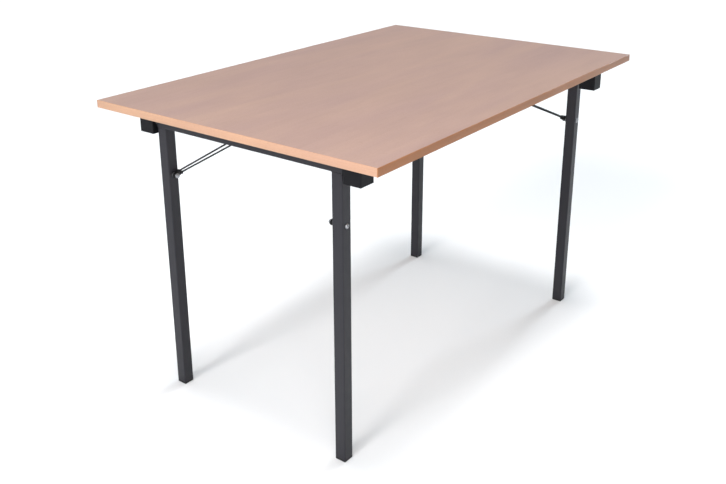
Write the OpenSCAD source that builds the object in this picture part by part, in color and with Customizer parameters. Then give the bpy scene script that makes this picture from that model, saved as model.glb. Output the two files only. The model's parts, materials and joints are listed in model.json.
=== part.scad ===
// Folding table. A laminated board stands on two U-shaped tube frames that swing in under it.
// The frames are shifted sideways in opposite directions, so that they fold side by side.
// Millimetres. The origin is on the floor, below the centre of the board. +X runs along the board.

/* [Table top] */
// Length of the board, along X
top_length = 1200; // [1150:10:1400]
// Width of the board, along Y
top_width = 800; // [720:10:900]
// Thickness of the finished board
top_thickness = 18; // [16:1:28]
// Height of the working surface above the floor
table_height = 755; // [700:5:780]
// Thickness of the decorative laminate, and of the backing sheet below
laminate_thickness = 0.8; // [0.5:0.1:1.2]
// Thickness of the edge bands
band_thickness = 2; // [1:0.5:3]

/* [Leg frames] */
// Outer width of a leg frame
frame_width = 549; // [500:1:560]
// Sideways shift of each frame from the middle of the table
frame_shift = 27.5; // [24:0.5:32]
// Distance from the middle of the table to the middle of a leg
leg_x = 496; // [470:1:500]
// Side of the square tube
tube_side = 28; // [25:1:30]
// Wall of the square tube
tube_wall = 1.5; // [1:0.25:2]
// Radius of the tube's outer corners
tube_corner = 2.5; // [2:0.25:3]
// Height of the plastic foot below the tube
foot_height = 6; // [4:1:12]

/* [Hinges] */
// Depth of the hinge axis below the board
hinge_drop = 38; // [34:1:42]
// Hinge housing along X
housing_depth = 44; // [42:1:48]
// Hinge housing along Y
housing_width = 45; // [42:1:50]
// Hinge housing, from the board down
housing_height = 68; // [62:1:74]
// Gap between a leg and its housing
housing_gap = 7.5; // [6:0.5:9]
// Radius of the pivot journal
journal_r = 10; // [8:0.5:10]
// Length of the journal inside the housing
journal_length = 30; // [24:1:34]

/* [Braces] */
// Depth of the brace bolts below the board
bolt_drop = 168; // [160:1:176]
// Radius of the brace bolts
bolt_r = 3; // [2.5:0.5:3]
// Radius of the brace wires
wire_r = 2; // [1.5:0.25:2.5]
// Distance between the two wires of a brace at the leg
wire_spread_leg = 11; // [11:0.5:13]
// Distance between the two wires of a brace at the slide bar
wire_spread_bar = 27; // [24:1:36]
// Distance from the frame's middle to the middle of a brace at the slide bar
brace_offset = 59.5; // [55:0.5:70]
// Place of the slide bar along X when the table stands open
bar_x = 212.5; // [200:0.5:235]
// Depth of the slide bar below the board, open and folded
bar_drop = 15; // [14:0.5:18]
// Radius of the slide bar
bar_r = 3; // [2.5:0.5:3]
// Radius of the nylon sleeves that run in the slots
sleeve_r = 5; // [4.5:0.25:5.5]

/* [Guide brackets] */
// Outer width of a guide bracket
guide_width = 56; // [40:1:60]
// Thickness of its sheet
guide_sheet = 2; // [1.5:0.5:2.5]
// Sheet left around the slot
guide_margin = 7; // [6:1:10]

/* [Hidden] */
$fn = 48;

// Clearances: a hair of overrun for cuts, a running fit, and a loose fit
cut = 1;
running = 0.05;
loose = 0.2;

// Which end of the table a frame belongs to
RIGHT = 0;
LEFT = 180;
// The outer leg of a frame stands on the side that the frame is shifted to
OUTER = -1;
INNER = 1;
SIDES = [OUTER, INNER];

board_bottom = table_height - top_thickness;
hinge_z = board_bottom - hinge_drop;
bolt_z = board_bottom - bolt_drop;
bar_z = board_bottom - bar_drop;
core_thickness = top_thickness - 2 * laminate_thickness;
tube_inner = tube_side - 2 * tube_wall;
frame_half = frame_width / 2;
leg_y = frame_half - tube_side / 2;
leg_inner_y = frame_half - tube_side;
leg_top = hinge_z - tube_side / 2;

// The brace swings on the leg while the leg swings on the board. The slot in the guide bracket
// is cut so that the two turn in a constant ratio, with the bar equally high at both ends.
leg_radius = hinge_z - bolt_z;
brace_length = norm([leg_x - bar_x, bar_z - bolt_z]);
brace_open = atan2(bar_z - bolt_z, leg_x - bar_x);
brace_folded = asin((bar_z - hinge_z) / brace_length);
brace_turn = (brace_open - brace_folded) / 90;
function brace_angle(fold) = brace_open - brace_turn * fold;
function bar_point(fold) = [
    leg_x - leg_radius * sin(fold) - brace_length * cos(brace_angle(fold)),
    hinge_z - leg_radius * cos(fold) + brace_length * sin(brace_angle(fold))
];
SLOT_STEPS = 30;
slot_points = [for (i = [0 : SLOT_STEPS]) bar_point(90 * i / SLOT_STEPS)];
slot_half = sleeve_r + 0.3;

// Clevis that carries the lower ends of a brace's wires
clevis_width = 7;
clevis_sheet = 2;
clevis_r = 7;
clevis_reach = 13;
clevis_plate = [2, 15, 12];
spacer_length = 4.5;
clevis_y = leg_inner_y - spacer_length - clevis_width / 2;

// Fasteners
screw_r = 2.25;
screw_head_r = 4.2;
screw_head_height = 3;
screw_bite = 13;
housing_seat_drop = 28;
housing_screw_x = 16.2;
housing_screw_y = 13;
guide_screw_y = 12;
bolt_head_r = 5.5;
bolt_head_height = 3.4;
bolt_socket_r = 2;
nut_r = 5.7;
nut_height = 4;
bolt_end = 1.5;

bar_half = brace_offset + wire_spread_bar / 2 + 5;
guide_x_min = slot_points[SLOT_STEPS][0] - slot_half - guide_margin;
guide_x_max = bar_x + slot_half + guide_margin;
guide_screw_xs = [guide_x_min + 12, guide_x_max - 12];
spring_screw_x = bar_x - 70;
spring_sheet = 0.8;
spring_width = 14;

housing_y = frame_half + housing_gap + housing_width / 2;

// ---------------------------------------------------------------- helpers

// Moves a frame's part from the frame's own middle to its place under the board
module at_frame(end) {
    rotate([0, 0, end]) translate([0, -frame_shift, 0]) children();
}

// Square with round corners, made of true arcs
module round_square(size, r) {
    square([size[0], size[1] - 2 * r], center = true);
    square([size[0] - 2 * r, size[1]], center = true);
    for (x = [-1, 1], y = [-1, 1])
        translate([x * (size[0] / 2 - r), y * (size[1] / 2 - r)]) circle(r);
}

module round_block(size, r) {
    linear_extrude(size[2]) round_square(size, r);
}

module tube(length) {
    difference() {
        round_block([tube_side, tube_side, length], tube_corner);
        translate([0, 0, -cut])
            round_block([tube_inner, tube_inner, length + 2 * cut], tube_corner - tube_wall);
    }
}

// Cylinder along Y, from y to y + length
module along_y(r, length, y = 0) {
    translate([0, y, 0]) rotate([-90, 0, 0]) cylinder(r = r, h = length);
}

// Straight wire between two points
module wire(from, to, r) {
    run = to - from;
    translate(from)
        rotate([0, acos(run[2] / norm(run)), atan2(run[1], run[0])])
            cylinder(r = r, h = norm(run));
}

// Pan-head wood screw that points up, with the underside of its head at z = 0
module wood_screw(length) {
    difference() {
        union() {
            cylinder(r = screw_r, h = length);
            translate([0, 0, -screw_head_height]) cylinder(r = screw_head_r, h = screw_head_height);
        }
        for (a = [0, 90]) rotate([0, 0, a])
            translate([0, 0, -screw_head_height]) cube([4.6, 1, 3], center = true);
    }
}

// Outline at a fixed distance around a row of points in the X-Z plane
function side_point(points, i, d) =
    let (before = points[max(i - 1, 0)], after = points[min(i + 1, len(points) - 1)],
         run = (after - before) / norm(after - before))
    points[i] + d * [run[1], -run[0]];
function band(points, d) = concat(
    [for (i = [0 : len(points) - 1]) side_point(points, i, d)],
    [for (i = [len(points) - 1 : -1 : 0]) side_point(points, i, -d)]
);
module band_2d(points, d) {
    polygon(band(points, d));
    for (p = [points[0], points[len(points) - 1]]) translate(p) circle(d);
}

// Extrudes an X-Z outline along Y, centred
module plate_xz(thickness) {
    translate([0, thickness / 2, 0]) rotate([90, 0, 0]) linear_extrude(thickness) children();
}

// ---------------------------------------------------------------- board

module board_layer(z, thickness) {
    translate([0, 0, z + thickness / 2])
        cube([top_length - 2 * band_thickness, top_width - 2 * band_thickness, thickness], center = true);
}

// Every place where a screw enters the board, in the frame's own coordinates
function housing_screw_spots() = [
    for (side = SIDES, dx = [-1, 1], dy = [-1, 1])
        [leg_x + dx * housing_screw_x, side * housing_y + dy * housing_screw_y]
];
function guide_screw_spots() = concat(
    [for (x = guide_screw_xs, dy = [-1, 1]) [x, dy * guide_screw_y]],
    [[spring_screw_x, 0]]
);

module screw_holes() {
    for (end = [RIGHT, LEFT]) at_frame(end)
        for (spot = concat(housing_screw_spots(), guide_screw_spots()))
            translate([spot[0], spot[1], board_bottom - cut]) cylinder(r = screw_r, h = screw_bite + cut);
}

module top_core() {
    color([0.80, 0.66, 0.50]) difference() {
        board_layer(board_bottom + laminate_thickness, core_thickness);
        screw_holes();
    }
}

module top_laminate() {
    color([0.80, 0.68, 0.61]) board_layer(table_height - laminate_thickness, laminate_thickness);
}

module backing_laminate() {
    color([0.76, 0.65, 0.56]) difference() {
        board_layer(board_bottom, laminate_thickness);
        screw_holes();
    }
}

module long_band(side) {
    color([0.75, 0.56, 0.44])
        translate([0, side * (top_width - band_thickness) / 2, board_bottom + top_thickness / 2])
            cube([top_length, band_thickness, top_thickness], center = true);
}
module edge_band_front() { long_band(-1); }
module edge_band_back() { long_band(1); }

module short_band(side) {
    color([0.93, 0.75, 0.60])
        translate([side * (top_length - band_thickness) / 2, 0, board_bottom + top_thickness / 2])
            cube([band_thickness, top_width - 2 * band_thickness, top_thickness], center = true);
}
module edge_band_left() { short_band(-1); }
module edge_band_right() { short_band(1); }

// ---------------------------------------------------------------- hinge housings

module housing(end, side) {
    seat_z = board_bottom - housing_seat_drop;
    color([0.09, 0.09, 0.10]) at_frame(end) difference() {
        translate([leg_x, side * housing_y, board_bottom - housing_height])
            round_block([housing_depth, housing_width, housing_height], 2);
        translate([leg_x, side * (frame_half + housing_gap + journal_length / 2), hinge_z])
            along_y(journal_r + running, journal_length + 2 * cut, -journal_length / 2 - cut);
        for (spot = housing_screw_spots()) translate([spot[0], spot[1], 0]) {
            translate([0, 0, seat_z - cut]) cylinder(r = screw_r + loose, h = housing_seat_drop + 2 * cut);
            translate([0, 0, board_bottom - housing_height - cut])
                cylinder(r = screw_head_r + loose, h = housing_height - housing_seat_drop + cut);
        }
    }
}
module right_housing_front() { housing(RIGHT, OUTER); }
module right_housing_back() { housing(RIGHT, INNER); }
module left_housing_front() { housing(LEFT, INNER); }
module left_housing_back() { housing(LEFT, OUTER); }

module housing_screws() {
    color([0.62, 0.62, 0.64]) for (end = [RIGHT, LEFT]) at_frame(end)
        for (spot = housing_screw_spots())
            translate([spot[0], spot[1], board_bottom - housing_seat_drop])
                wood_screw(housing_seat_drop + screw_bite);
}

// ---------------------------------------------------------------- guide brackets

module guide_cheek_2d() {
    difference() {
        union() {
            band_2d(slot_points, slot_half + guide_margin);
            polygon(concat(slot_points, [[guide_x_min, bar_z], [guide_x_min, board_bottom],
                                         [guide_x_max, board_bottom], [guide_x_max, bar_z]]));
        }
        band_2d(slot_points, slot_half);
        translate([guide_x_min - cut, board_bottom]) square([guide_x_max - guide_x_min + 2 * cut, 40]);
    }
}

module guide_bracket(end) {
    color([0.16, 0.16, 0.17]) at_frame(end) difference() {
        union() {
            for (side = [-1, 1])
                translate([0, side * (guide_width - guide_sheet) / 2, 0])
                    plate_xz(guide_sheet) guide_cheek_2d();
            translate([guide_x_min, -guide_width / 2, board_bottom - guide_sheet])
                cube([guide_x_max - guide_x_min, guide_width, guide_sheet]);
        }
        for (spot = guide_screw_spots())
            translate([spot[0], spot[1], board_bottom - guide_sheet - cut])
                cylinder(r = screw_r + loose, h = guide_sheet + 2 * cut);
    }
}
module right_guide_bracket() { guide_bracket(RIGHT); }
module left_guide_bracket() { guide_bracket(LEFT); }

module bracket_screws() {
    color([0.62, 0.62, 0.64]) for (end = [RIGHT, LEFT]) at_frame(end)
        for (spot = guide_screw_spots()) {
            under_spring = spot[0] == spring_screw_x ? spring_sheet : 0;
            grip = guide_sheet + under_spring;
            translate([spot[0], spot[1], board_bottom - grip]) wood_screw(grip + screw_bite);
        }
}

// Leaf spring whose bump stands just over the bar's way out of the open position
module catch_spring(end) {
    web_z = board_bottom - guide_sheet;
    leaf = [
        [spring_screw_x - 9, web_z], [spring_screw_x + 20, web_z], [bar_x - 20, web_z - 6],
        [bar_x - 11, web_z - 12], [bar_x - 6, web_z - 8], [bar_x + 6, web_z - 7]
    ];
    lower = [for (i = [len(leaf) - 1 : -1 : 0]) leaf[i] - [0, spring_sheet]];
    color([0.70, 0.70, 0.72]) at_frame(end) difference() {
        plate_xz(spring_width) polygon(concat(leaf, lower));
        translate([spring_screw_x, 0, web_z - 2 * cut]) cylinder(r = screw_r + loose, h = 3 * cut);
    }
}
module right_catch_spring() { catch_spring(RIGHT); }
module left_catch_spring() { catch_spring(LEFT); }

// ---------------------------------------------------------------- leg frames

module cross_tube(end) {
    color([0.20, 0.20, 0.23]) at_frame(end)
        translate([leg_x, frame_half, hinge_z]) rotate([90, 0, 0]) tube(frame_width);
}
module right_cross_tube() { cross_tube(RIGHT); }
module left_cross_tube() { cross_tube(LEFT); }

module leg(end, side) {
    color([0.20, 0.20, 0.23]) at_frame(end) difference() {
        translate([leg_x, side * leg_y, foot_height]) tube(leg_top - foot_height);
        translate([leg_x, side * leg_y, bolt_z]) along_y(bolt_r + loose, tube_side + 2 * cut, -tube_side / 2 - cut);
    }
}
module right_leg_front() { leg(RIGHT, OUTER); }
module right_leg_back() { leg(RIGHT, INNER); }
module left_leg_front() { leg(LEFT, INNER); }
module left_leg_back() { leg(LEFT, OUTER); }

// Push-in glide with a hollow, ribless shank
module foot(end, side) {
    shank = tube_inner - 2 * loose;
    color([0.06, 0.06, 0.06]) at_frame(end) translate([leg_x, side * leg_y, 0]) {
        round_block([tube_side, tube_side, foot_height], tube_corner);
        difference() {
            translate([0, 0, foot_height]) round_block([shank, shank, 22], 1);
            translate([0, 0, foot_height + 2]) round_block([shank - 5, shank - 5, 22], 1);
        }
    }
}
module right_foot_front() { foot(RIGHT, OUTER); }
module right_foot_back() { foot(RIGHT, INNER); }
module left_foot_front() { foot(LEFT, INNER); }
module left_foot_back() { foot(LEFT, OUTER); }

// Plug in the end of the cross tube, with the journal that turns in the housing
module pivot_plug(end, side) {
    shank = tube_inner - 2 * loose;
    flange = 2.5;
    color([0.12, 0.12, 0.13]) at_frame(end) translate([leg_x, side * frame_half, hinge_z])
        rotate([side * -90, 0, 0]) {
            translate([0, 0, -25]) round_block([shank, shank, 25], 1);
            round_block([tube_side, tube_side, flange], tube_corner);
            cylinder(r = journal_r, h = housing_gap + journal_length - 1);
        }
}
module right_pivot_plug_front() { pivot_plug(RIGHT, OUTER); }
module right_pivot_plug_back() { pivot_plug(RIGHT, INNER); }
module left_pivot_plug_front() { pivot_plug(LEFT, INNER); }
module left_pivot_plug_back() { pivot_plug(LEFT, OUTER); }

module spacer_collars(end) {
    flange = 2.5;
    color([0.30, 0.30, 0.31]) at_frame(end) for (side = SIDES)
        translate([leg_x, side * (frame_half + flange), hinge_z]) rotate([side * -90, 0, 0]) difference() {
            cylinder(r = journal_r + 3.5, h = housing_gap - flange - loose);
            translate([0, 0, -cut]) cylinder(r = journal_r + running, h = housing_gap + 2 * cut);
        }
}
module right_spacer_collars() { spacer_collars(RIGHT); }
module left_spacer_collars() { spacer_collars(LEFT); }

// ---------------------------------------------------------------- brace bolts

// Places children on a brace bolt: +Z runs from the leg's inner face to the frame's middle
module on_bolt(end) {
    at_frame(end) for (side = SIDES)
        translate([leg_x, side * leg_inner_y, bolt_z]) rotate([side * 90, 0, 0]) children();
}
bolt_reach = spacer_length + clevis_width + 1 + nut_height + bolt_end;

module brace_bolts(end) {
    color([0.78, 0.78, 0.80]) on_bolt(end) {
        translate([0, 0, -tube_side]) cylinder(r = bolt_r, h = tube_side + bolt_reach);
        translate([0, 0, -tube_side - bolt_head_height]) difference() {
            cylinder(r = bolt_head_r, h = bolt_head_height);
            translate([0, 0, -cut]) cylinder(r = bolt_socket_r, h = cut + 2, $fn = 6);
        }
    }
}
module right_brace_bolts() { brace_bolts(RIGHT); }
module left_brace_bolts() { brace_bolts(LEFT); }

module ring(outer, inner, length) {
    difference() {
        cylinder(r = outer, h = length);
        translate([0, 0, -cut]) cylinder(r = inner, h = length + 2 * cut);
    }
}

// A long spacer against the leg and a thin washer under each nut
module brace_spacers(end) {
    color([0.55, 0.55, 0.57]) on_bolt(end) {
        ring(6, bolt_r + running, spacer_length - 0.1);
        translate([0, 0, spacer_length + clevis_width + 0.1]) ring(6, bolt_r + running, 0.9);
    }
}
module right_brace_spacers() { brace_spacers(RIGHT); }
module left_brace_spacers() { brace_spacers(LEFT); }

module brace_nuts(end) {
    color([0.78, 0.78, 0.80]) on_bolt(end)
        translate([0, 0, spacer_length + clevis_width + 1]) difference() {
            cylinder(r = nut_r, h = nut_height, $fn = 6);
            translate([0, 0, -cut]) cylinder(r = bolt_r, h = nut_height + 2 * cut);
        }
}
module right_brace_nuts() { brace_nuts(RIGHT); }
module left_brace_nuts() { brace_nuts(LEFT); }

// ---------------------------------------------------------------- braces

// Brace coordinates: the origin is on the bolt axis, -X runs along the brace to the slide bar
module at_brace(end) {
    at_frame(end) translate([leg_x, 0, bolt_z]) rotate([0, brace_open, 0]) children();
}

module clevis(end, side) {
    ear_y = (clevis_width - clevis_sheet) / 2;
    color([0.10, 0.10, 0.11]) at_brace(end) translate([0, side * clevis_y, 0]) difference() {
        union() {
            for (dy = [-ear_y, ear_y]) translate([0, dy, 0]) plate_xz(clevis_sheet) {
                circle(clevis_r);
                translate([-clevis_reach, -clevis_plate[2] / 2]) square([clevis_reach, clevis_plate[2]]);
            }
            translate([-clevis_reach - clevis_plate[0] / 2, 0, 0]) cube(clevis_plate, center = true);
        }
        along_y(bolt_r + running, clevis_width + 2 * cut, -clevis_width / 2 - cut);
    }
}
module right_clevis_front() { clevis(RIGHT, OUTER); }
module right_clevis_back() { clevis(RIGHT, INNER); }
module left_clevis_front() { clevis(LEFT, INNER); }
module left_clevis_back() { clevis(LEFT, OUTER); }

// Two wires, cut flat where they are welded to the clevis and hollow where they meet the bar
module wire_brace(end, side) {
    plate_x = -clevis_reach - clevis_plate[0];
    color([0.12, 0.12, 0.13]) at_brace(end) difference() {
        for (k = [-0.5, 0.5])
            wire([plate_x + clevis_plate[0], side * clevis_y + k * wire_spread_leg, 0],
                 [-brace_length, side * brace_offset + k * wire_spread_bar, 0], wire_r);
        translate([plate_x, -frame_half, -wire_r - cut]) cube([30, frame_width, 2 * (wire_r + cut)]);
        translate([-brace_length, 0, 0]) along_y(bar_r, frame_width, -frame_half);
        translate([-brace_length - 30, -frame_half, -wire_r - cut]) cube([30, frame_width, 2 * (wire_r + cut)]);
    }
}
module right_wire_brace_front() { wire_brace(RIGHT, OUTER); }
module right_wire_brace_back() { wire_brace(RIGHT, INNER); }
module left_wire_brace_front() { wire_brace(LEFT, INNER); }
module left_wire_brace_back() { wire_brace(LEFT, OUTER); }

module slide_bar(end) {
    color([0.66, 0.66, 0.68]) at_brace(end)
        translate([-brace_length, 0, 0]) along_y(bar_r, 2 * bar_half, -bar_half);
}
module right_slide_bar() { slide_bar(RIGHT); }
module left_slide_bar() { slide_bar(LEFT); }

module slide_sleeves(end) {
    length = 5;
    middle = (guide_width - guide_sheet) / 2;
    color([0.85, 0.84, 0.80]) at_brace(end) for (side = [-1, 1])
        translate([-brace_length, side * middle, 0]) difference() {
            along_y(sleeve_r, length, -length / 2);
            along_y(bar_r, length + 2 * cut, -length / 2 - cut);
        }
}
module right_slide_sleeves() { slide_sleeves(RIGHT); }
module left_slide_sleeves() { slide_sleeves(LEFT); }

// ---------------------------------------------------------------- nodes

top_core();
top_laminate();
backing_laminate();
edge_band_front();
edge_band_back();
edge_band_left();
edge_band_right();
housing_screws();
bracket_screws();
right_housing_front();
right_housing_back();
right_guide_bracket();
right_catch_spring();
right_cross_tube();
right_leg_front();
right_leg_back();
right_foot_front();
right_foot_back();
right_pivot_plug_front();
right_pivot_plug_back();
right_spacer_collars();
right_brace_bolts();
right_brace_spacers();
right_brace_nuts();
right_slide_bar();
right_slide_sleeves();
right_wire_brace_front();
right_wire_brace_back();
right_clevis_front();
right_clevis_back();
left_housing_front();
left_housing_back();
left_guide_bracket();
left_catch_spring();
left_cross_tube();
left_leg_front();
left_leg_back();
left_foot_front();
left_foot_back();
left_pivot_plug_front();
left_pivot_plug_back();
left_spacer_collars();
left_brace_bolts();
left_brace_spacers();
left_brace_nuts();
left_slide_bar();
left_slide_sleeves();
left_wire_brace_front();
left_wire_brace_back();
left_clevis_front();
left_clevis_back();
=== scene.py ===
"""The folding table's looks: finishes, rounded edges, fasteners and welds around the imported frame."""
import json
import math

import bmesh
import bpy
from mathutils import Matrix, Vector


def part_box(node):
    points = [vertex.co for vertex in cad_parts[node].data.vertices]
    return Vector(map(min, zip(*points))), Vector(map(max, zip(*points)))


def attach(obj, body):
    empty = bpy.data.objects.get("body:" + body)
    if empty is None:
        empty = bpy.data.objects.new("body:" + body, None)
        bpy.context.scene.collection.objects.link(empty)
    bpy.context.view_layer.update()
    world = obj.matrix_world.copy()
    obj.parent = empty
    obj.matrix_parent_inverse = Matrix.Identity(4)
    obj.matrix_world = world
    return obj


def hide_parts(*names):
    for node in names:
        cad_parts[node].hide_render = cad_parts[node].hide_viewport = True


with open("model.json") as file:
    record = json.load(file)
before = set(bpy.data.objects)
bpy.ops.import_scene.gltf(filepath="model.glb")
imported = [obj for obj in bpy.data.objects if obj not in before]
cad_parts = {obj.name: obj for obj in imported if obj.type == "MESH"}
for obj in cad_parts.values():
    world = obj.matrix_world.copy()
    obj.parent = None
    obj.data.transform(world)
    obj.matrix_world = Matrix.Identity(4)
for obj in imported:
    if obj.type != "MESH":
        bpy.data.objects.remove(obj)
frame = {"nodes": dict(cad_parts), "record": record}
NODES = frame["nodes"]
SLOTS = {row["node"]: row["material_slot"] for row in frame["record"]["subparts"]}
BODIES = {node: body for body, nodes in frame["record"]["behaviour"]["bodies"].items() for node in nodes}
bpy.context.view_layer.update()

ENDS = ("right", "left")
SIDES = ("front", "back")
MM = 0.001

# ---------------------------------------------------------------- camera

LENS = 43.913               # mm
SENSOR_WIDTH = 36           # mm
CAMERA_PLACE = Vector((1.8056, 1.2743, 1.2783))
CAMERA_HEADING = -142.581   # degrees from +X
CAMERA_PITCH = -19.029      # degrees above level
CAMERA_ROLL = -0.291        # degrees
SHIFT_X = 0.0090
SHIFT_Y = -0.1082


def make_camera():
    data = bpy.data.cameras.new("camera")
    data.lens = LENS
    data.sensor_width = SENSOR_WIDTH
    data.shift_x = SHIFT_X
    data.shift_y = SHIFT_Y
    camera = bpy.data.objects.new("camera", data)
    bpy.context.scene.collection.objects.link(camera)
    turn = Matrix.Rotation(math.radians(CAMERA_HEADING - 90), 4, "Z")
    tilt = Matrix.Rotation(math.radians(90 + CAMERA_PITCH), 4, "X")
    roll = Matrix.Rotation(math.radians(CAMERA_ROLL), 4, "Z")
    camera.matrix_world = Matrix.Translation(CAMERA_PLACE) @ turn @ tilt @ roll
    bpy.context.scene.camera = camera


make_camera()

# ---------------------------------------------------------------- light and floor

PLAIN_WHITE = (1, 1, 1)
COOL_WHITE = (0.81, 0.92, 1.0)
FLOOR_COLOUR = (0.975, 0.965, 0.965)
FLOOR_REACH = 40


def add_light(kind, name, power, colour=PLAIN_WHITE):
    data = bpy.data.lights.new(name, kind)
    data.color = colour
    data.energy = power
    lamp = bpy.data.objects.new(name, data)
    bpy.context.scene.collection.objects.link(lamp)
    return lamp


def shine_from(lamp, direction):
    """Turns a lamp so that its light comes from a direction."""
    lamp.rotation_euler = direction.to_track_quat("Z", "Y").to_euler()


def make_sun(name, azimuth, elevation, strength, spread, colour=PLAIN_WHITE):
    """A soft sun that shines from an azimuth (0 is +X, 90 is +Y) and an elevation, in degrees."""
    lamp = add_light("SUN", name, strength, colour)
    lamp.data.angle = math.radians(spread)
    a, e = math.radians(azimuth), math.radians(elevation)
    shine_from(lamp, Vector((math.cos(a) * math.cos(e), math.sin(a) * math.cos(e), math.sin(e))))


def make_softbox(azimuth, distance, height, size, power, target):
    """A rectangular lamp beside the table that faces a target."""
    lamp = add_light("AREA", "softbox", power)
    lamp.data.shape = "RECTANGLE"
    lamp.data.size, lamp.data.size_y = size
    a = math.radians(azimuth)
    lamp.location = (distance * math.cos(a), distance * math.sin(a), height)
    shine_from(lamp, lamp.location - Vector(target))


def make_world(front, back):
    """Cool light that weakens from the front (-Y) to the back, with plain white for the camera to see."""
    world = bpy.data.worlds.new("studio")
    bpy.context.scene.world = world
    world.use_nodes = True
    tree = world.node_tree
    light = tree.nodes["Background"]
    light.inputs["Color"].default_value = (*COOL_WHITE, 1)
    direction = tree.nodes.new("ShaderNodeTexCoord").outputs["Generated"]
    split = tree.nodes.new("ShaderNodeSeparateXYZ")
    fade = tree.nodes.new("ShaderNodeMapRange")
    fade.inputs["From Min"].default_value = -1
    fade.inputs["To Min"].default_value = front
    fade.inputs["To Max"].default_value = back
    tree.links.new(direction, split.inputs[0])
    tree.links.new(split.outputs["Y"], fade.inputs["Value"])
    tree.links.new(fade.outputs["Result"], light.inputs["Strength"])
    seen = tree.nodes.new("ShaderNodeBackground")
    seen.inputs["Color"].default_value = (*PLAIN_WHITE, 1)
    path = tree.nodes.new("ShaderNodeLightPath")
    mix = tree.nodes.new("ShaderNodeMixShader")
    tree.links.new(path.outputs["Is Camera Ray"], mix.inputs[0])
    tree.links.new(light.outputs[0], mix.inputs[1])
    tree.links.new(seen.outputs[0], mix.inputs[2])
    tree.links.new(mix.outputs[0], tree.nodes["World Output"].inputs["Surface"])


def floor_finish():
    """Satin white from above, clear from below so that the underside can be looked at."""
    material = bpy.data.materials.new("floor")
    material.use_nodes = True
    tree = material.node_tree
    shader = tree.nodes["Principled BSDF"]
    shader.inputs["Base Color"].default_value = (*FLOOR_COLOUR, 1)
    shader.inputs["Roughness"].default_value = 0.6
    shader.inputs["Specular IOR Level"].default_value = 0.2
    clear = tree.nodes.new("ShaderNodeBsdfTransparent")
    side = tree.nodes.new("ShaderNodeNewGeometry")
    mix = tree.nodes.new("ShaderNodeMixShader")
    tree.links.new(side.outputs["Backfacing"], mix.inputs[0])
    tree.links.new(shader.outputs[0], mix.inputs[1])
    tree.links.new(clear.outputs[0], mix.inputs[2])
    tree.links.new(mix.outputs[0], tree.nodes["Material Output"].inputs["Surface"])
    return material


def make_floor():
    corners = [(x * FLOOR_REACH, y * FLOOR_REACH, 0) for x, y in ((-1, -1), (1, -1), (1, 1), (-1, 1))]
    mesh = bpy.data.meshes.new("floor")
    mesh.from_pydata(corners, [], [(0, 1, 2, 3)])
    mesh.materials.append(floor_finish())
    floor = bpy.data.objects.new("floor", mesh)
    bpy.context.scene.collection.objects.link(floor)


bpy.context.scene.view_settings.view_transform = "Standard"
make_world(front=0.47, back=0.17)
make_sun("key", azimuth=0, elevation=88, strength=1.5, spread=18)
make_sun("low_key", azimuth=0, elevation=27, strength=1.5, spread=17)
make_sun("low_fill", azimuth=176, elevation=20, strength=1.7, spread=18, colour=COOL_WHITE)
make_sun("front_fill", azimuth=-90, elevation=30, strength=0.35, spread=45)
make_softbox(azimuth=27, distance=1.8, height=1.35, size=(1.2, 0.9), power=16, target=(0.5, 0.25, 0.7))
make_floor()

# ---------------------------------------------------------------- finishes

# Sockets of Blender's Mix node when it mixes colours
MIX_BELOW, MIX_ABOVE, MIX_RESULT = 6, 7, 2


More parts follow.
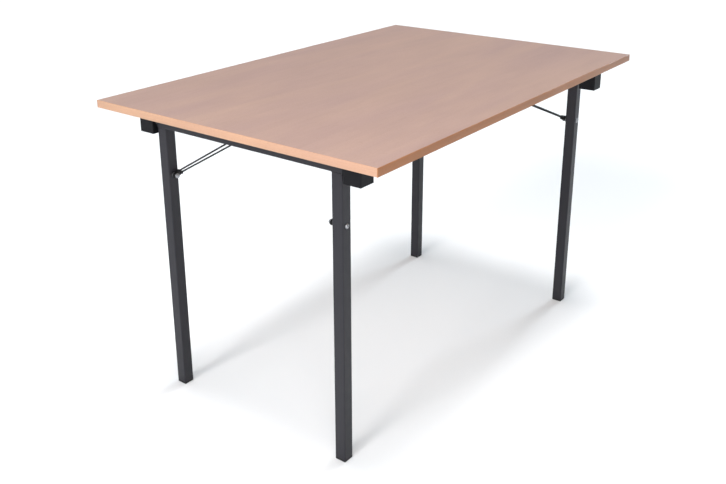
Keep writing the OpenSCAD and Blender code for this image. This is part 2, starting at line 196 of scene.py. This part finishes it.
class Finish:
    """One procedural material. Its texture space is the row frame at rest, in metres."""

    def __init__(self, name, metallic=0.0, specular=0.5):
        self.material = bpy.data.materials.new(name)
        self.material.use_nodes = True
        self.tree = self.material.node_tree
        self.shader = self.tree.nodes["Principled BSDF"]
        self.shader.inputs["Metallic"].default_value = metallic
        self.shader.inputs["Specular IOR Level"].default_value = specular
        self.place = self.tree.nodes.new("ShaderNodeTexCoord").outputs["Object"]

    def link(self, source, target):
        self.tree.links.new(source, target)

    def noise(self, scale, detail=3, rough=0.5, warp=0.0):
        """Noise with a scale for each axis: more per metre means finer."""
        stretch = self.tree.nodes.new("ShaderNodeMapping")
        stretch.inputs["Scale"].default_value = scale
        self.link(self.place, stretch.inputs["Vector"])
        node = self.tree.nodes.new("ShaderNodeTexNoise")
        node.inputs["Scale"].default_value = 1
        node.inputs["Detail"].default_value = detail
        node.inputs["Roughness"].default_value = rough
        node.inputs["Distortion"].default_value = warp
        self.link(stretch.outputs["Vector"], node.inputs["Vector"])
        return node.outputs["Fac"]

    def ramp(self, value, *stops):
        """Colours or greys at places along a value."""
        node = self.tree.nodes.new("ShaderNodeValToRGB")
        ramp = node.color_ramp
        while len(ramp.elements) < len(stops):
            ramp.elements.new(0.5)
        for element, (place, colour) in zip(ramp.elements, stops):
            element.position = place
            element.color = (*colour, 1) if isinstance(colour, tuple) else (colour, colour, colour, 1)
        self.link(value, node.inputs["Fac"])
        return node.outputs["Color"]

    def vary(self, value, base, darkest, lightest, low=0.3, high=0.7):
        """The base colour, darker where a value is low and lighter where it is high."""
        ends = [tuple(channel * factor for channel in base) for factor in (darkest, lightest)]
        return self.ramp(value, (low, ends[0]), (high, ends[1]))

    def mix(self, kind, amount, below, above):
        node = self.tree.nodes.new("ShaderNodeMix")
        node.data_type = "RGBA"
        node.blend_type = kind
        sockets = (node.inputs["Factor"], node.inputs[MIX_BELOW], node.inputs[MIX_ABOVE])
        for value, socket in zip((amount, below, above), sockets):
            if isinstance(value, bpy.types.NodeSocket):
                self.link(value, socket)
            else:
                socket.default_value = value
        return node.outputs[MIX_RESULT]

    def darken(self, colour, value, low, high, least):
        """Multiplies a colour by a factor that rises from the least to 1 as a value goes from low to high."""
        return self.mix("MULTIPLY", 1.0, colour, self.ramp(value, (low, least), (high, 1.0)))

    def colour(self, value):
        self.link(value, self.shader.inputs["Base Color"])

    def roughness(self, value, low, high):
        node = self.tree.nodes.new("ShaderNodeMapRange")
        node.inputs["To Min"].default_value = low
        node.inputs["To Max"].default_value = high
        self.link(value, node.inputs["Value"])
        self.link(node.outputs["Result"], self.shader.inputs["Roughness"])

    def bump(self, height, strength, distance):
        node = self.tree.nodes.new("ShaderNodeBump")
        node.inputs["Strength"].default_value = strength
        node.inputs["Distance"].default_value = distance
        self.link(height, node.inputs["Height"])
        self.link(node.outputs["Normal"], self.shader.inputs["Normal"])


def beech(name, along, tint, contrast=1.0):
    """Satin beech-look laminate whose grain runs along one axis."""
    finish = Finish(name, specular=0.45)

    def grain(length, width, *settings):
        """Noise whose patches have about this length along the grain and this width across it, in metres."""
        return finish.noise(tuple(1 / length if axis == along else 1 / width for axis in "xyz"), *settings)

    def shade(*shifts):
        return tuple(channel * (1 + shift * contrast) for channel, shift in zip(tint, shifts))

    boards = grain(0.60, 0.13, 2, 0.5, 0.6)
    colour = finish.ramp(boards, (0.34, shade(-0.06, -0.06, -0.02)), (0.66, shade(0.05, 0.05, 0.02)))
    clouds = grain(0.16, 0.07, 2, 0.5, 0.4)
    colour = finish.darken(colour, clouds, 0.30, 0.70, 1 - 0.05 * contrast)
    streaks = grain(0.22, 0.018, 3, 0.6, 0.6)
    colour = finish.darken(colour, streaks, 0.32, 0.68, 1 - 0.04 * contrast)
    fibres = grain(0.12, 0.0022, 4, 0.65)
    colour = finish.darken(colour, fibres, 0.30, 0.70, 1 - 0.10 * contrast)
    flecks = grain(0.0045, 0.0007, 1, 0.4)
    pores = finish.ramp(flecks, (0.60, 0.0), (0.70, 0.45 * contrast))
    pore_colour = tuple(channel * darker for channel, darker in zip(tint, (0.72, 0.64, 0.56)))
    finish.colour(finish.mix("MIX", pores, colour, (*pore_colour, 1)))
    finish.roughness(fibres, 0.38, 0.50)
    finish.bump(flecks, 0.06, 0.0002)
    return finish.material


def powder_coat(name, base):
    """Fine-grained paint on steel."""
    finish = Finish(name, specular=0.25)
    speckle = finish.noise((900, 900, 900), 2, 0.6)
    finish.colour(finish.vary(speckle, base, 0.92, 1.08, 0.35, 0.65))
    finish.roughness(finish.noise((60, 60, 60)), 0.34, 0.50)
    finish.bump(finish.noise((1400, 1400, 1400), 2), 0.15, 0.0002)
    return finish.material


def moulded(name, base, rough=0.5, specular=0.45):
    """Plastic or rubber with a slight mould grain."""
    finish = Finish(name, specular=specular)
    finish.colour(finish.vary(finish.noise((40, 40, 40)), base, 0.85, 1.15))
    grain = finish.noise((2600, 2600, 2600), 2)
    finish.roughness(grain, rough - 0.06, rough + 0.10)
    finish.bump(grain, 0.3, 0.0001)
    return finish.material


def plated(name, base, rough):
    """Zinc plate or bare steel, a little cloudy."""
    finish = Finish(name, metallic=1.0)
    finish.colour(finish.vary(finish.noise((120, 120, 120), 2), base, 0.88, 1.0))
    finish.roughness(finish.noise((900, 900, 900), 2), rough - 0.05, rough + 0.07)
    return finish.material


FINISHES = {
    "top_laminate": beech("beech_top", "x", (0.482, 0.304, 0.245)),
    "backing_laminate": beech("beech_backing", "x", (0.50, 0.36, 0.27), contrast=0.6),
    "board_core": moulded("chipboard", (0.50, 0.33, 0.18), rough=0.8),
    # Painted light and shade: the short bands' beech is lighter than the top's and the long bands' beech much
    # darker, lit and shaded copies of one band colour
    "edge_band_long": beech("beech_long_band_painted_shade", "x", (0.38, 0.150, 0.054)),
    "edge_band_short": beech("beech_short_band_painted_light", "y", (0.56, 0.322, 0.208)),
    "powder_coat": powder_coat("anthracite_powder", (0.022, 0.021, 0.026)),
    "black_nylon": moulded("black_nylon", (0.006, 0.006, 0.008), specular=0.15),
    "black_steel": powder_coat("black_steel", (0.014, 0.014, 0.015)),
    "black_rubber": moulded("black_foot", (0.010, 0.010, 0.010), rough=0.6),
    "grey_nylon": moulded("grey_nylon", (0.045, 0.045, 0.048)),
    "white_nylon": moulded("white_nylon", (0.62, 0.60, 0.54), rough=0.45),
    "zinc_screw": plated("zinc_screw", (0.60, 0.60, 0.62), rough=0.35),
    "bright_zinc": plated("bright_zinc", (0.44, 0.44, 0.46), rough=0.36),
    "bar_steel": plated("bar_steel", (0.50, 0.50, 0.52), rough=0.30),
    "spring_steel": plated("spring_steel", (0.42, 0.44, 0.48), rough=0.25),
}

# ---------------------------------------------------------------- reading the frame


def span(points):
    """(lowest corner, highest corner) of some points."""
    low = Vector([min(p[axis] for p in points) for axis in range(3)])
    high = Vector([max(p[axis] for p in points) for axis in range(3)])
    return low, high


def middle(box):
    return (Vector(box[0]) + Vector(box[1])) / 2


def solids(name):
    """The corners of every separate solid in a CAD node: one list of points for each, in order of place."""
    mesh = bmesh.new()
    mesh.from_mesh(NODES[name].data)
    bmesh.ops.remove_doubles(mesh, verts=mesh.verts, dist=1e-6)
    found = []
    waiting = set(mesh.verts)
    while waiting:
        todo = [waiting.pop()]
        points = []
        while todo:
            vert = todo.pop()
            points.append(vert.co.copy())
            near = {edge.other_vert(vert) for edge in vert.link_edges} & waiting
            waiting -= near
            todo.extend(near)
        found.append(points)
    mesh.free()
    return sorted(found, key=lambda points: tuple(span(points)[0]))


def solid_boxes(name):
    return [span(points) for points in solids(name)]


def inward(y, end):
    """The direction along Y, 1 or -1, from a place to the middle of its leg frame."""
    return math.copysign(1, middle(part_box(end + "_cross_tube")).y - y)


# ---------------------------------------------------------------- building blocks


def piece(name, mesh, body, slot, replaced=(), smooth=40):
    """Turns a bmesh, built in the row frame, into a piece that rides on a body."""
    bmesh.ops.recalc_face_normals(mesh, faces=mesh.faces)
    data = bpy.data.meshes.new(name)
    mesh.to_mesh(data)
    mesh.free()
    data.shade_smooth()
    data.set_sharp_from_angle(angle=math.radians(smooth))
    data.materials.append(FINISHES[slot])
    made = bpy.data.objects.new(name, data)
    bpy.context.scene.collection.objects.link(made)
    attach(made, body)
    if replaced:
        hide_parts(*replaced)


def stand_in(node, suffix, mesh, smooth=40):
    """A piece that replaces one CAD node, on the node's own body and slot."""
    piece(node + suffix, mesh, BODIES[node], SLOTS[node], [node], smooth)


def aim(origin, direction, turn=0.0):
    """A place whose local Z points along a direction."""
    spin = Matrix.Rotation(turn, 4, "Z")
    return Matrix.Translation(origin) @ Vector(direction).to_track_quat("Z", "Y").to_matrix().to_4x4() @ spin


def add_rings(mesh, rings, close=False):
    """Skins rows of points. A row of one point closes an end. Returns the rows as vertices."""
    rows = [[mesh.verts.new(point) for point in ring] for ring in rings]
    pairs = list(zip(rows, rows[1:]))
    if close:
        pairs.append((rows[-1], rows[0]))
    for low, high in pairs:
        count = max(len(low), len(high))
        for i in range(count):
            k = (i + 1) % count
            corners = [low[i % len(low)], low[k % len(low)], high[k % len(high)], high[i % len(high)]]
            corners = list(dict.fromkeys(corners))
            if len(corners) > 2:
                mesh.faces.new(corners)
    return rows


def circle(radius, height, place, sides):
    if radius <= 0:
        return [place @ Vector((0, 0, height))]
    steps = [2 * math.pi * i / sides for i in range(sides)]
    return [place @ Vector((radius * math.cos(a), radius * math.sin(a), height)) for a in steps]


def add_turned(mesh, profile, place, sides=40, close=False):
    """A turned shape: (radius, height) points spun about local Z."""
    return add_rings(mesh, [circle(r, h, place, sides) for r, h in profile], close)


def rounded(height, radius, steps=5):
    """(inset, height) points of a quarter-round edge that ends flat at a height."""
    turns = [math.pi / 2 * i / steps for i in range(steps + 1)]
    return [(radius * (1 - math.cos(t)), height - radius * (1 - math.sin(t))) for t in turns]


def add_recess(mesh, rim, outline, top, depth, taper, place):
    """Fills the flat inside a rim of vertices, and sinks an outlined recess into it."""
    mouth = [mesh.verts.new(place @ Vector((x, y, top))) for x, y in outline]
    floor = [mesh.verts.new(place @ Vector((x * taper, y * taper, top - depth))) for x, y in outline]
    loops = []
    for row in (rim, mouth):
        for i, vert in enumerate(row):
            pair = (vert, row[(i + 1) % len(row)])
            loops.append(mesh.edges.get(pair) or mesh.edges.new(pair))
    bmesh.ops.triangle_fill(mesh, edges=loops, use_beauty=True)
    for i in range(len(outline)):
        k = (i + 1) % len(outline)
        mesh.faces.new((mouth[i], mouth[k], floor[k], floor[i]))
    mesh.faces.new(floor)


def hexagon(radius):
    return [(radius * math.cos(math.pi / 3 * i), radius * math.sin(math.pi / 3 * i)) for i in range(6)]


def cross(reach, half):
    """Outline of a cross recess."""
    quarter = [(reach, -half), (reach, half), (half, half)]
    outline = []
    for turn in range(4):
        c, s = round(math.cos(turn * math.pi / 2)), round(math.sin(turn * math.pi / 2))
        outline += [(c * x - s * y, s * x + c * y) for x, y in quarter]
    return outline


def round_square(half, corner, height, place, steps=6):
    """Points of a square with round corners, which are never quite sharp."""
    corner = max(corner, 0.05 * MM)
    quadrants = ((1, 1), (-1, 1), (-1, -1), (1, -1))
    points = []
    for turn, (x, y) in enumerate(quadrants):
        centre = Vector((x, y, 0)) * (half - corner)
        for i in range(steps + 1):
            a = math.pi / 2 * (turn + i / steps)
            points.append(place @ (centre + Vector((corner * math.cos(a), corner * math.sin(a), height))))
    return points


# Of a weld bead's radius: how far apart its rings are, how long a ripple is and how high
BEAD_STEP = 0.22
BEAD_WAVE = 1.3
BEAD_RIPPLE = 0.07
BEAD_SIDES = 12


def add_bead(mesh, path, radius, closed=False):
    """A rippled weld bead along points, with round ends unless it is closed."""
    steps = []
    for a, b in zip(path, path[1:] + path[:1] if closed else path[1:]):
        count = max(2, round((b - a).length / (radius * BEAD_STEP)))
        steps += [a.lerp(b, i / count) for i in range(count)]
    if not closed:
        steps.append(path[-1])
    rings = []
    travelled = 0.0
    for i, point in enumerate(steps):
        ahead = steps[(i + 1) % len(steps)] if closed or i + 1 < len(steps) else point
        behind = steps[i - 1] if closed or i else point
        travelled += (point - behind).length
        swell = 1 + BEAD_RIPPLE * math.sin(2 * math.pi * travelled / (BEAD_WAVE * radius))
        if not closed:
            left = min(travelled, (steps[-1] - point).length)
            swell *= math.sqrt(max(0.0, min(1.0, left / radius)))
        rings.append(circle(max(radius * swell, 0.02 * MM), 0, aim(point, ahead - behind), BEAD_SIDES))
    add_rings(mesh, rings, close=closed)


# ---------------------------------------------------------------- edge bands

BAND_ROUND = 1.4 * MM


def build_edge_band(side):
    """A band with rounded outer edges. A long one has rounded ends too, where it turns the corner."""
    name = "edge_band_" + side
    low, high = map(Vector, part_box(name))
    centre = middle((low, high))
    long_side = side in SIDES
    out = 1 if long_side else 0
    mesh = bmesh.new()
    block = Matrix.Translation(centre) @ Matrix.Diagonal((*(high - low), 1))
    bmesh.ops.create_cube(mesh, size=1, matrix=block)
    outer = [edge for edge in mesh.edges if all(abs(v.co[out]) > abs(centre[out]) for v in edge.verts)]
    level = [edge for edge in outer if abs(edge.verts[0].co.z - edge.verts[1].co.z) < MM]
    bmesh.ops.bevel(mesh, geom=outer if long_side else level, offset=BAND_ROUND, segments=5, profile=0.5,
                    affect="EDGES", clamp_overlap=True)
    stand_in(name, "_rounded", mesh, smooth=50)


for side in (*SIDES, "left", "right"):
    build_edge_band(side)

# ---------------------------------------------------------------- wood screws

SCREW_HEAD = 3.0 * MM
SCREW_DOME = 1.9 * MM
SCREW_POINT = 3.0 * MM
CROSS_REACH = 2.1 * MM
CROSS_HALF = 0.45 * MM
CROSS_DEPTH = 1.7 * MM
CROSS_TAPER = 0.75


def add_screw(mesh, low, high, turn):
    """Pan-head screw that points up, as wide as the CAD head, with a domed top and a cross recess."""
    centre = middle((low, high))
    radius = (high.x - low.x) / 2
    place = aim((centre.x, centre.y, low.z + SCREW_HEAD), (0, 0, -1), turn)
    shank = radius * 0.5
    tip = SCREW_HEAD - (high.z - low.z)
    dome = [(radius - inset, height) for inset, height in rounded(SCREW_HEAD, SCREW_DOME, 7)]
    profile = [(0, tip), (shank, tip + SCREW_POINT), (shank, 0), (radius, 0), *dome]
    rows = add_turned(mesh, profile, place, 32)
    add_recess(mesh, rows[-1], cross(CROSS_REACH, CROSS_HALF), SCREW_HEAD, CROSS_DEPTH, CROSS_TAPER, place)


def build_screws(name):
    mesh = bmesh.new()
    for i, (low, high) in enumerate(solid_boxes(name)):
        add_screw(mesh, low, high, turn=0.7 * i)
    stand_in(name, "_turned", mesh)


build_screws("housing_screws")
build_screws("bracket_screws")

# ---------------------------------------------------------------- feet

GLIDE_CORNER = 2.5 * MM
GLIDE_EDGE = 1.6 * MM       # round of the sole's edge
GLIDE_DISH = 0.3 * MM       # hollow in the middle of the sole
GLIDE_GROOVE = 0.5 * MM     # depth of the shadow groove below the tube
GLIDE_WALL = 4.0 * MM       # from the foot's side to the plug inside the tube
GLIDE_PLUG = 12 * MM        # how far the plug goes up into the tube


def build_glide(end, side):
    """Push-in glide: a dished sole with a round edge, and a thin shadow groove below the tube."""
    name = f"{end}_foot_{side}"
    low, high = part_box(name)
    centre = middle((low, high))
    half = (high[0] - low[0]) / 2
    place = Matrix.Translation((centre.x, centre.y, low[2]))
    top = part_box(f"{end}_leg_{side}")[0][2] - low[2]
    sole = [(10 * MM, GLIDE_DISH), (9 * MM, 0), (2.6 * MM, 0)]
    edge = [(inset, -height) for inset, height in reversed(rounded(0, GLIDE_EDGE))]
    groove = [(0, top - 1.0 * MM), (0.15 * MM, top - 0.85 * MM),
              (GLIDE_GROOVE, top - 0.75 * MM), (GLIDE_GROOVE, top)]
    plug = [(GLIDE_WALL, top), (GLIDE_WALL, top + GLIDE_PLUG)]
    rings = [[place @ Vector((0, 0, GLIDE_DISH))]]
    rings += [round_square(half - inset, GLIDE_CORNER, height, place) for inset, height in sole]
    for inset, height in edge + groove + plug:
        rings.append(round_square(half - inset, GLIDE_CORNER - inset, height, place))
    rings.append([place @ Vector((0, 0, top + GLIDE_PLUG))])
    mesh = bmesh.new()
    add_rings(mesh, rings)
    stand_in(name, "_moulded", mesh)


for end in ENDS:
    for side in SIDES:
        build_glide(end, side)

# ---------------------------------------------------------------- brace bolts and nuts

BOLT_SHANK = 3.0 * MM       # radius
BOLT_HEAD = 3.4 * MM
BOLT_LIP = 0.25 * MM
BOLT_DOME = math.radians(62)
BOLT_TURN = 0.3
SOCKET_RADIUS = 2.1 * MM
SOCKET_DEPTH = 2.0 * MM
SOCKET_TAPER = 0.97
THREAD_PITCH = 1.0 * MM
THREAD_DEPTH = 0.45 * MM
THREAD_TURNS = 12


def thread(end_height):
    """(radius, height) points of a thread with a chamfered end, upwards from its end."""
    root = BOLT_SHANK - THREAD_DEPTH
    points = [(BOLT_SHANK - 2 * THREAD_DEPTH, end_height), (root, end_height + 0.3 * MM)]
    for i in range(THREAD_TURNS):
        start = end_height + 0.5 * MM + i * THREAD_PITCH
        points += [(BOLT_SHANK, start), (BOLT_SHANK, start + 0.15 * MM), (root, start + 0.5 * MM)]
    return points


def button_head(radius, steps=8):
    """(radius, height) points of a bolt's domed head."""
    points = [(radius - 0.15 * MM, 0), (radius, BOLT_LIP)]
    for i in range(steps):
        a = BOLT_DOME * (i + 1) / steps
        rise = (BOLT_HEAD - BOLT_LIP) * math.sin(a) / math.sin(BOLT_DOME)
        points.append((radius * math.cos(a), BOLT_LIP + rise))
    return points


def build_bolts(end):
    """Button-head bolts with a hex socket and a threaded end."""
    name = end + "_brace_bolts"
    mesh = bmesh.new()
    for low, high in solid_boxes(name):
        centre = middle((low, high))
        way = inward(centre.y, end)
        outside = low.y if way > 0 else high.y
        radius = (high.x - low.x) / 2
        tip = BOLT_HEAD - (high.y - low.y)
        place = aim((centre.x, outside + way * BOLT_HEAD, centre.z), (0, -way, 0), BOLT_TURN)
        profile = [(0, tip), *thread(tip), (BOLT_SHANK, -0.1 * MM), *button_head(radius)]
        rows = add_turned(mesh, profile, place)
        add_recess(mesh, rows[-1], hexagon(SOCKET_RADIUS), BOLT_HEAD, SOCKET_DEPTH, SOCKET_TAPER, place)
    stand_in(name, "_turned", mesh)


NUT_BORE = 3.05 * MM        # radius
NUT_SIDES = 48


def hex_ring(corner, limit, height, place):
    """A hexagon's outline as a ring of points, with its corners turned down to a limit."""
    flat = corner * math.cos(math.pi / 6)
    points = []
    for i in range(NUT_SIDES):
        a = 2 * math.pi * i / NUT_SIDES
        r = min(limit, flat / math.cos(a % (math.pi / 3) - math.pi / 6))
        points.append(place @ Vector((r * math.cos(a), r * math.sin(a), height)))
    return points


def add_nut(mesh, corner, height, place):
    flat = corner * math.cos(math.pi / 6)
    collar = flat * 0.86
    rings = [circle(NUT_BORE, 0, place, NUT_SIDES)]
    for limit, level in ((flat * 0.96, 0), (flat, 0.1 * MM), (corner, 0.75 * MM),
                         (corner, height * 0.58), (flat, height * 0.72)):
        rings.append(hex_ring(corner, limit, level, place))
    for radius, level in ((collar, height * 0.74), (collar, height * 0.93),
                          (collar - 0.4 * MM, height), (NUT_BORE, height)):
        rings.append(circle(radius, level, place, NUT_SIDES))
    add_rings(mesh, rings, close=True)


def build_nuts(end):
    """Hex lock nuts: chamfered flats and a plain collar that holds the nylon ring."""
    name = end + "_brace_nuts"
    mesh = bmesh.new()
    for low, high in solid_boxes(name):
        centre = middle((low, high))
        way = inward(centre.y, end)
        seat = low.y if way > 0 else high.y
        corner = max(high.x - low.x, high.z - low.z) / 2
        add_nut(mesh, corner, high.y - low.y, aim((centre.x, seat, centre.z), (0, way, 0)))
    stand_in(name, "_turned", mesh, smooth=18)


for end in ENDS:
    build_bolts(end)
    build_nuts(end)

# ---------------------------------------------------------------- welds on the leg frames

CORNER_BEAD = 2.0 * MM
FLUSH_BEAD = 1.1 * MM
FLUSH_BEAD_SUNK = 0.75 * MM


def build_frame_welds(end):
    """Beads where the legs meet the cross tube: a full one inside the frame, flush ones on the faces."""
    mesh = bmesh.new()
    for side in SIDES:
        low, high = map(Vector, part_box(f"{end}_leg_{side}"))
        way = inward(middle((low, high)).y, end)
        inner, outer = (high.y, low.y) if way > 0 else (low.y, high.y)
        ends = [Vector((x, inner, high.z)) for x in (low.x + 1 * MM, high.x - 1 * MM)]
        add_bead(mesh, ends, CORNER_BEAD)
        for x in (low.x + FLUSH_BEAD_SUNK, high.x - FLUSH_BEAD_SUNK):
            ends = [Vector((x, y, high.z)) for y in (outer + way * 2.5 * MM, inner - way * 1 * MM)]
            add_bead(mesh, ends, FLUSH_BEAD)
    piece(end + "_frame_welds", mesh, end + "_leg_frame", "powder_coat", smooth=80)


for end in ENDS:
    build_frame_welds(end)

# ---------------------------------------------------------------- sleeves, brace welds and catch springs

SLEEVE_BORE = 3.0 * MM      # radius
FLANGE_RADIUS = 6.6 * MM
FLANGE_THICKNESS = 1.2 * MM


def build_sleeves(end):
    """Nylon bushes with a flange on both sides of each bracket cheek."""
    name = end + "_slide_sleeves"
    mesh = bmesh.new()
    for low, high in solid_boxes(name):
        half = (high.y - low.y) / 2
        inner = half - FLANGE_THICKNESS
        body = min(high.x - low.x, high.z - low.z) / 2
        half_side = [(body, inner), (FLANGE_RADIUS - 0.2 * MM, inner), (FLANGE_RADIUS, inner + 0.2 * MM),
                     (FLANGE_RADIUS, half - 0.4 * MM), (FLANGE_RADIUS - 0.4 * MM, half), (SLEEVE_BORE, half)]
        profile = [(r, -h) for r, h in reversed(half_side)] + half_side
        add_turned(mesh, profile, aim(middle((low, high)), (0, 1, 0)), close=True)
    stand_in(name, "_flanged", mesh)


WIRE_BEAD = 1.2 * MM
WIRE_BEAD_RING = 2.1 * MM


def build_brace_welds(end):
    """Beads round the wires where they meet their clevises and the slide bar."""
    mesh = bmesh.new()
    bar = middle(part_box(end + "_slide_bar"))
    for side in SIDES:
        for points in solids(f"{end}_wire_brace_{side}"):
            reach = [abs(p.x - bar.x) for p in points]
            tips = []
            for limit in (min(reach), max(reach)):
                tip = [p for p, r in zip(points, reach) if abs(r - limit) < 3 * MM]
                tips.append(middle(span(tip)))
            along = (tips[1] - tips[0]).normalized()
            for tip, inset in zip(tips, (2.0 * MM, -0.5 * MM)):
                ring = circle(WIRE_BEAD_RING, 0, aim(tip + along * inset, along), 36)
                add_bead(mesh, ring, WIRE_BEAD, closed=True)
    piece(end + "_brace_welds", mesh, end + "_brace", "black_steel", smooth=80)


# Along the leaf, and below the bracket, in millimetres: flat, slope, catch, and lead-out
LEAF = ((0, 0), (29, 0), (59, -6), (68, -12), (73, -8), (85, -7))
LEAF_SHEET = 0.8 * MM
LEAF_TIP = 3 * MM


def smooth_path(points, rounds=3):
    """Cuts the corners of a path again and again, until its bends are smooth."""
    for _ in range(rounds):
        cut = [points[0]]
        for a, b in zip(points, points[1:]):
            cut += [a.lerp(b, 0.25), a.lerp(b, 0.75)]
        points = cut + [points[-1]]
    return points


def build_catch_spring(end):
    """A bent leaf with a rounded catch and narrowed tips."""
    name = end + "_catch_spring"
    low, high = map(Vector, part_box(name))
    centre = middle((low, high))
    way = math.copysign(1, centre.x)
    start = low.x if way > 0 else high.x
    path = smooth_path([Vector((start + way * x * MM, 0, high.z + z * MM)) for x, z in LEAF])
    rings = []
    for point in path:
        left = min(abs(point.x - start), abs(point.x - path[-1].x))
        half = (high.y - low.y) / 2 - LEAF_TIP * (1 - min(1, left / LEAF_TIP)) ** 2
        section = ((-half, 0), (half, 0), (half, LEAF_SHEET), (-half, LEAF_SHEET))
        rings.append([Vector((point.x, centre.y + y, point.z - drop)) for y, drop in section])
    rings = [[middle(span(rings[0]))]] + rings + [[middle(span(rings[-1]))]]
    mesh = bmesh.new()
    add_rings(mesh, rings)
    stand_in(name, "_bent", mesh)


for end in ENDS:
    build_sleeves(end)
    build_brace_welds(end)
    build_catch_spring(end)

# ---------------------------------------------------------------- finishes and edges of the CAD parts

# Millimetres, for every node whose name has these words in it
EDGE_ROUNDING = {
    "housing": 1.2, "guide_bracket": 0.35, "clevis": 0.3, "pivot_plug": 0.5, "spacer_collars": 0.5,
    "slide_bar": 0.5, "brace_spacers": 0.2, "top_laminate": 0.12, "backing_laminate": 0.12,
}


def soften(node, width):
    """Rounds a kept part's sharp edges by a few tenths of a millimetre."""
    weld = node.modifiers.new("weld", "WELD")
    weld.merge_threshold = 1e-6
    flats = node.modifiers.new("flats", "DECIMATE")
    flats.decimate_type = "DISSOLVE"
    flats.angle_limit = math.radians(0.5)
    bevel = node.modifiers.new("bevel", "BEVEL")
    bevel.width = width * MM
    bevel.segments = 3
    bevel.limit_method = "ANGLE"
    bevel.angle_limit = math.radians(40)
    bevel.miter_outer = "MITER_ARC"
    normals = node.modifiers.new("normals", "WEIGHTED_NORMAL")
    normals.keep_sharp = True


for name, node in NODES.items():
    node.data.materials.clear()
    node.data.materials.append(FINISHES[SLOTS[name]])
    for words, width in EDGE_ROUNDING.items():
        if f"_{words}_" in f"_{name}_":
            soften(node, width)
